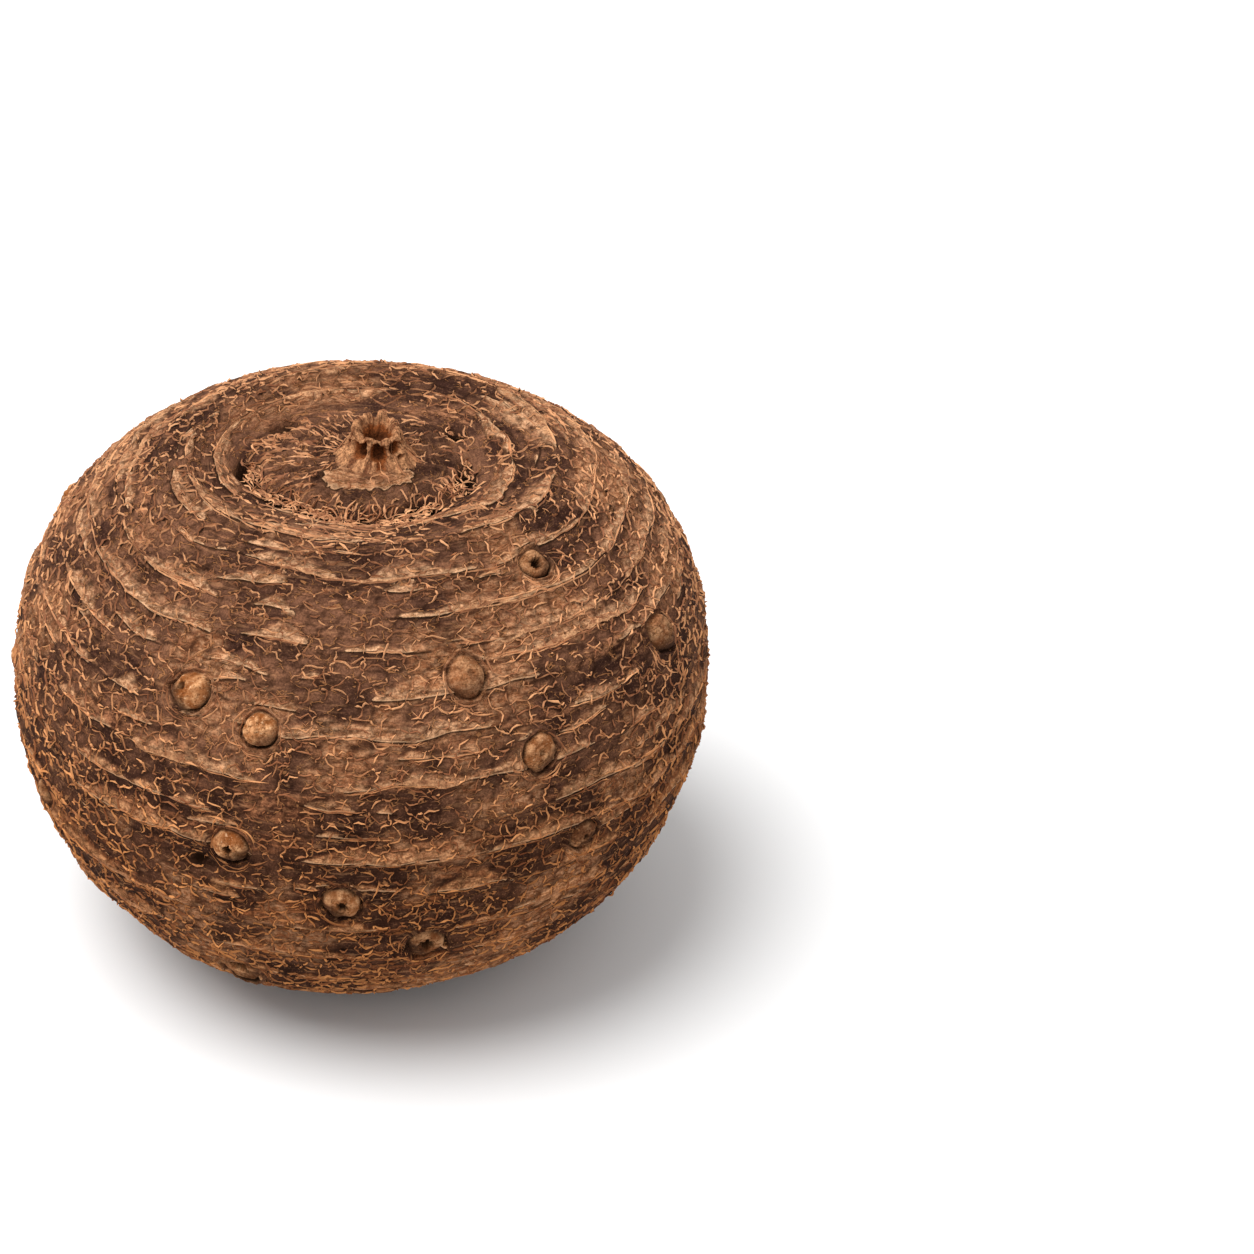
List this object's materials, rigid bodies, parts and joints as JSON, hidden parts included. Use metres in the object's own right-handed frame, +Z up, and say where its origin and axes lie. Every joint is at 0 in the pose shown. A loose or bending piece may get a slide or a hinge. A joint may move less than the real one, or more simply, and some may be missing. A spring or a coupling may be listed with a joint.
{
  "type": "elephant foot yam",
  "caption": "Whole elephant foot yam: a squat, ringed brown corm with raised buds and a dished crown holding the stub of its leaf stem.",
  "frame": {"origin": "on the surface it rests on, under the middle of the corm's box", "axes": "+Z up through the crown and the stem stub, the shortest way through; the side with the measured buds faces -Y, and +X is to the right of someone looking at that side"},
  "size_m": [0.2038, 0.2048, 0.1603],
  "materials": {
    "corm_skin": "rough, dry, corky brown skin"
  },
  "bodies": {
    "root": {"corm": "corm_skin"}
  },
  "joints": []
}
